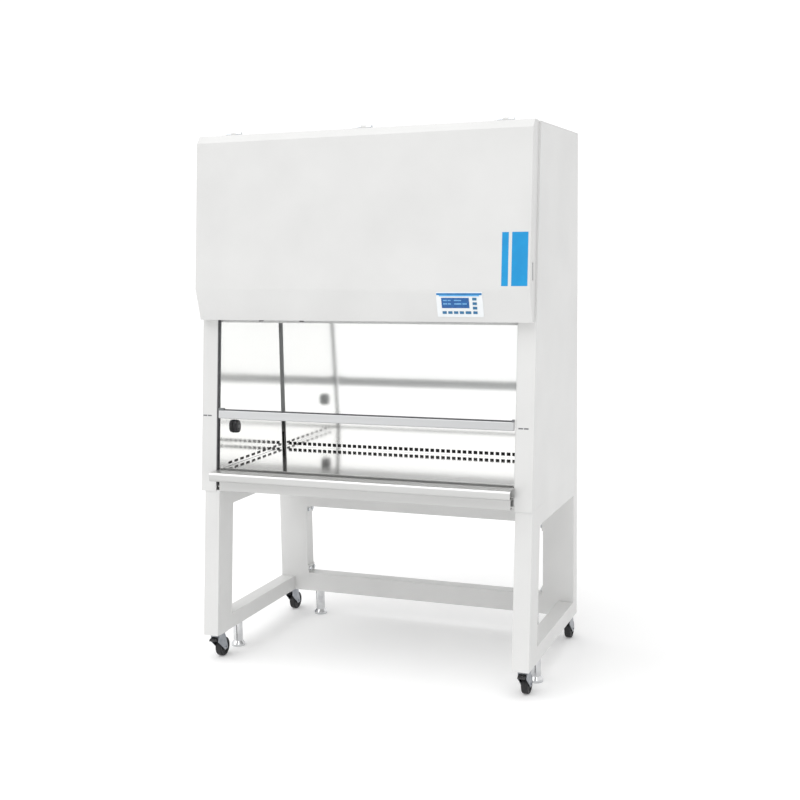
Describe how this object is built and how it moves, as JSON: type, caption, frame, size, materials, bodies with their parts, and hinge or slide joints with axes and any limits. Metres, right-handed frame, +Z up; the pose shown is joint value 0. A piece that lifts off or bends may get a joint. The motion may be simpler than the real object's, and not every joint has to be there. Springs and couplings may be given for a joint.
{
  "type": "biosafety cabinet",
  "caption": "Free-standing biosafety cabinet with a sliding sash, hinged service door, lift-out worktop and a wheeled stand with levelling feet.",
  "frame": {"origin": "on the floor, under the middle of the assembly's bounding box", "axes": "+X to the operator's right, +Y from the front to the rear, +Z up; the front faces -Y"},
  "size_m": [1.34, 0.7832, 2.062],
  "materials": {
    "white_paint": "satin powder coat",
    "zinc_sheet": "bare coated sheet",
    "stainless": "brushed",
    "tray_steel": "polished",
    "bright_steel": "plated",
    "iron": "as cast, painted grey",
    "bar_aluminium": "anodised",
    "sash_pane": "clear, toughened",
    "guide_plastic": "matte",
    "belt_rubber": "matte",
    "filter_paper": "pleated glass-fibre paper in a metal frame",
    "lamp_plastic": "diffusing lens in a white housing",
    "panel_blue": "printed plate with a dark blue screen",
    "key_plastic": "matte",
    "latch_plastic": "matte",
    "knob_plastic": "gloss",
    "wheel_rubber": "matte",
    "pedal_plastic": "matte"
  },
  "bodies": {
    "cabinet": {"side_panel_left": "white_paint", "side_panel_right": "white_paint", "rear_panel": "white_paint", "roof_panel": "white_paint", "exhaust_filter": "filter_paper", "supply_filter": "filter_paper", "diffuser": "stainless", "plenum_box": "zinc_sheet", "blower_frame": "zinc_sheet", "side_liners": "stainless", "rear_baffle": "stainless", "drain_pan": "stainless", "front_grille": "stainless", "armrest": "stainless", "lower_front_panel": "stainless", "front_posts": "white_paint", "sash_guides": "guide_plastic", "sash_belts": "belt_rubber", "work_lamp": "lamp_plastic", "hinge_leaves": "bright_steel", "stand_frame_left": "white_paint", "stand_frame_right": "white_paint", "stand_crossbars": "white_paint", "stand_bolts": "bright_steel"},
    "door": {"service_door": "white_paint", "display": "panel_blue"},
    "latch": {"door_latch": "latch_plastic"},
    "sash": {"sash_handle": "bar_aluminium", "sash_glass": "sash_pane"},
    "weight_left": {"counterweight_left": "iron"},
    "weight_right": {"counterweight_right": "iron"},
    "tie_shaft_body": {"tie_shaft": "bright_steel"},
    "pulley_left": {"lower_pulley_left": "bright_steel"},
    "pulley_right": {"lower_pulley_right": "bright_steel"},
    "tray": {"work_tray": "tray_steel"},
    "impeller": {"blower_impeller": "bar_aluminium"},
    "knob": {"tap_knob": "knob_plastic"},
    "key1": {"key_1": "key_plastic"},
    "key2": {"key_2": "key_plastic"},
    "key3": {"key_3": "key_plastic"},
    "key4": {"key_4": "key_plastic"},
    "key5": {"key_5": "key_plastic"},
    "key6": {"key_6": "key_plastic"},
    "key7": {"key_7": "key_plastic"},
    "key8": {"key_8": "key_plastic"},
    "key9": {"key_9": "key_plastic"},
    "caster_front_left": {"fork_front_left": "bright_steel"},
    "wheel_front_left_body": {"wheel_front_left": "wheel_rubber"},
    "pedal_front_left_body": {"pedal_front_left": "pedal_plastic"},
    "caster_front_right": {"fork_front_right": "bright_steel"},
    "wheel_front_right_body": {"wheel_front_right": "wheel_rubber"},
    "pedal_front_right_body": {"pedal_front_right": "pedal_plastic"},
    "caster_rear_left": {"fork_rear_left": "bright_steel"},
    "wheel_rear_left_body": {"wheel_rear_left": "wheel_rubber"},
    "caster_rear_right": {"fork_rear_right": "bright_steel"},
    "wheel_rear_right_body": {"wheel_rear_right": "wheel_rubber"},
    "foot_front_left_body": {"foot_front_left": "bright_steel"},
    "foot_front_right_body": {"foot_front_right": "bright_steel"},
    "foot_rear_left_body": {"foot_rear_left": "bright_steel"},
    "foot_rear_right_body": {"foot_rear_right": "bright_steel"}
  },
  "joints": [
    {"name": "sash_slide", "type": "slide", "parent": "cabinet", "child": "sash", "axis": [0, 0.0945, 0.9955], "range_m": [-0.19, 0.335]},
    {"name": "weight_left_slide", "type": "slide", "parent": "cabinet", "child": "weight_left", "axis": [0, 0.0945, 0.9955], "range_m": [-0.335, 0.19]},
    {"name": "weight_right_slide", "type": "slide", "parent": "cabinet", "child": "weight_right", "axis": [0, 0.0945, 0.9955], "range_m": [-0.335, 0.19]},
    {"name": "tie_shaft_turn", "type": "hinge", "parent": "cabinet", "child": "tie_shaft_body", "pos_m": [0, -0.16993, 1.96], "axis": [1, 0, 0], "range_deg": [-903, 513]},
    {"name": "pulley_left_turn", "type": "hinge", "parent": "cabinet", "child": "pulley_left", "pos_m": [-0.6397, -0.26671, 0.94], "axis": [1, 0, 0], "range_deg": [-903, 513]},
    {"name": "pulley_right_turn", "type": "hinge", "parent": "cabinet", "child": "pulley_right", "pos_m": [0.6397, -0.26671, 0.94], "axis": [1, 0, 0], "range_deg": [-903, 513]},
    {"name": "door_hinge", "type": "hinge", "parent": "cabinet", "child": "door", "pos_m": [0, -0.20697, 2.054], "axis": [-1, 0, 0], "range_deg": [0, 85]},
    {"name": "latch_pull", "type": "hinge", "parent": "door", "child": "latch", "pos_m": [0.6585, -0.29921, 1.49999], "axis": [0, 1, 0], "range_deg": [0, 35], "stiffness_Nm_per_rad": 0.02, "springref_deg": -11.46},
    {"name": "key1_press", "type": "slide", "parent": "door", "child": "key1", "axis": [0, 0.9703, 0.2421], "range_m": [0, 0.0008], "stiffness_N_per_m": 150, "springref_m": -0.0008},
    {"name": "key2_press", "type": "slide", "parent": "door", "child": "key2", "axis": [0, 0.9703, 0.2421], "range_m": [0, 0.0008], "stiffness_N_per_m": 150, "springref_m": -0.0008},
    {"name": "key3_press", "type": "slide", "parent": "door", "child": "key3", "axis": [0, 0.9703, 0.2421], "range_m": [0, 0.0008], "stiffness_N_per_m": 150, "springref_m": -0.0008},
    {"name": "key4_press", "type": "slide", "parent": "door", "child": "key4", "axis": [0, 0.9703, 0.2421], "range_m": [0, 0.0008], "stiffness_N_per_m": 150, "springref_m": -0.0008},
    {"name": "key5_press", "type": "slide", "parent": "door", "child": "key5", "axis": [0, 0.9703, 0.2421], "range_m": [0, 0.0008], "stiffness_N_per_m": 150, "springref_m": -0.0008},
    {"name": "key6_press", "type": "slide", "parent": "door", "child": "key6", "axis": [0, 0.9703, 0.2421], "range_m": [0, 0.0008], "stiffness_N_per_m": 150, "springref_m": -0.0008},
    {"name": "key7_press", "type": "slide", "parent": "door", "child": "key7", "axis": [0, 0.9703, 0.2421], "range_m": [0, 0.0008], "stiffness_N_per_m": 150, "springref_m": -0.0008},
    {"name": "key8_press", "type": "slide", "parent": "door", "child": "key8", "axis": [0, 0.9703, 0.2421], "range_m": [0, 0.0008], "stiffness_N_per_m": 150, "springref_m": -0.0008},
    {"name": "key9_press", "type": "slide", "parent": "door", "child": "key9", "axis": [0, 0.9703, 0.2421], "range_m": [0, 0.0008], "stiffness_N_per_m": 150, "springref_m": -0.0008},
    {"name": "tray_lift", "type": "slide", "parent": "cabinet", "child": "tray", "axis": [0, 0, 1], "range_m": [0, 0.12]},
    {"name": "impeller_spin", "type": "hinge", "parent": "cabinet", "child": "impeller", "pos_m": [0, 0.2346, 1.685], "axis": [0, 1, 0], "continuous": true},
    {"name": "tap_turn", "type": "hinge", "parent": "cabinet", "child": "knob", "pos_m": [-0.596, -0.17237, 0.912], "axis": [1, 0, 0], "range_deg": [0, 270]},
    {"name": "caster_front_left_swivel", "type": "hinge", "parent": "cabinet", "child": "caster_front_left", "pos_m": [-0.6225, -0.33565, 0.1037], "axis": [0, 0, 1], "continuous": true},
    {"name": "wheel_front_left_roll", "type": "hinge", "parent": "caster_front_left", "child": "wheel_front_left_body", "pos_m": [-0.6225, -0.30365, 0.0375], "axis": [1, 0, 0], "continuous": true},
    {"name": "pedal_front_left_press", "type": "hinge", "parent": "caster_front_left", "child": "pedal_front_left_body", "pos_m": [-0.6225, -0.35565, 0.08], "axis": [1, 0, 0], "range_deg": [0, 12]},
    {"name": "caster_front_right_swivel", "type": "hinge", "parent": "cabinet", "child": "caster_front_right", "pos_m": [0.6385, -0.33565, 0.1037], "axis": [0, 0, 1], "continuous": true},
    {"name": "wheel_front_right_roll", "type": "hinge", "parent": "caster_front_right", "child": "wheel_front_right_body", "pos_m": [0.6385, -0.30365, 0.0375], "axis": [1, 0, 0], "continuous": true},
    {"name": "pedal_front_right_press", "type": "hinge", "parent": "caster_front_right", "child": "pedal_front_right_body", "pos_m": [0.6385, -0.35565, 0.08], "axis": [1, 0, 0], "range_deg": [0, 12]},
    {"name": "caster_rear_left_swivel", "type": "hinge", "parent": "cabinet", "child": "caster_rear_left", "pos_m": [-0.6225, 0.3221, 0.1037], "axis": [0, 0, 1], "continuous": true},
    {"name": "wheel_rear_left_roll", "type": "hinge", "parent": "caster_rear_left", "child": "wheel_rear_left_body", "pos_m": [-0.6225, 0.3541, 0.0375], "axis": [1, 0, 0], "continuous": true},
    {"name": "caster_rear_right_swivel", "type": "hinge", "parent": "cabinet", "child": "caster_rear_right", "pos_m": [0.6385, 0.3221, 0.1037], "axis": [0, 0, 1], "continuous": true},
    {"name": "wheel_rear_right_roll", "type": "hinge", "parent": "caster_rear_right", "child": "wheel_rear_right_body", "pos_m": [0.6385, 0.3541, 0.0375], "axis": [1, 0, 0], "continuous": true},
    {"name": "foot_front_left_screw", "type": "slide", "parent": "cabinet", "child": "foot_front_left_body", "axis": [0, 0, 1], "range_m": [-0.015, 0.02]},
    {"name": "foot_front_right_screw", "type": "slide", "parent": "cabinet", "child": "foot_front_right_body", "axis": [0, 0, 1], "range_m": [-0.015, 0.02]},
    {"name": "foot_rear_left_screw", "type": "slide", "parent": "cabinet", "child": "foot_rear_left_body", "axis": [0, 0, 1], "range_m": [-0.015, 0.02]},
    {"name": "foot_rear_right_screw", "type": "slide", "parent": "cabinet", "child": "foot_rear_right_body", "axis": [0, 0, 1], "range_m": [-0.015, 0.02]}
  ],
  "couplings": [
    {"joint": "weight_left_slide", "follows": "sash_slide", "ratio": -1},
    {"joint": "weight_right_slide", "follows": "sash_slide", "ratio": -1},
    {"joint": "tie_shaft_turn", "follows": "sash_slide", "rad_per_m": -46.948},
    {"joint": "pulley_left_turn", "follows": "sash_slide", "rad_per_m": -46.948},
    {"joint": "pulley_right_turn", "follows": "sash_slide", "rad_per_m": -46.948}
  ]
}
